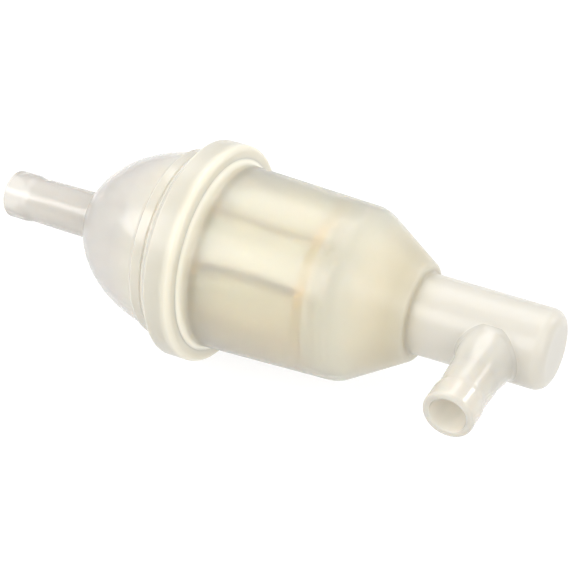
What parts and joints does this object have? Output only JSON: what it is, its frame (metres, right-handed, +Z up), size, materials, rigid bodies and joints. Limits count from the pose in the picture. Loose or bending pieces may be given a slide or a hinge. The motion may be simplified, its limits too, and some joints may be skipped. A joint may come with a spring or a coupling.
{
  "type": "fuel filter",
  "caption": "Sealed in-line fuel filter with a domed clear inlet cover, joint ring, pleated paper element and a blind tube with a side outlet spigot.",
  "frame": {"origin": "on the filter axis, half way through the width of the joint ring", "axes": "+X along the filter axis from the inlet spigot to the blind end of the outlet tube, -Y out of the side outlet spigot, +Z up"},
  "size_m": [0.1036, 0.0407, 0.0382],
  "materials": {
    "clear_nylon": "clear moulded nylon, glossy",
    "natural_nylon": "natural translucent nylon, satin gloss",
    "milky_nylon": "milky overmoulded nylon, satin",
    "seat_plastic": "moulded, matt",
    "filter_paper": "resin-treated filter paper, pleated",
    "adhesive": "cured adhesive"
  },
  "bodies": {
    "root": {"inlet_cover": "clear_nylon", "filter_bowl": "natural_nylon", "joint_ring": "milky_nylon", "element_seat_ring": "seat_plastic", "pleated_paper": "filter_paper", "paper_side_seam": "adhesive", "open_end_adhesive": "adhesive", "closed_end_adhesive": "adhesive", "closed_end_disc": "seat_plastic"}
  },
  "joints": []
}
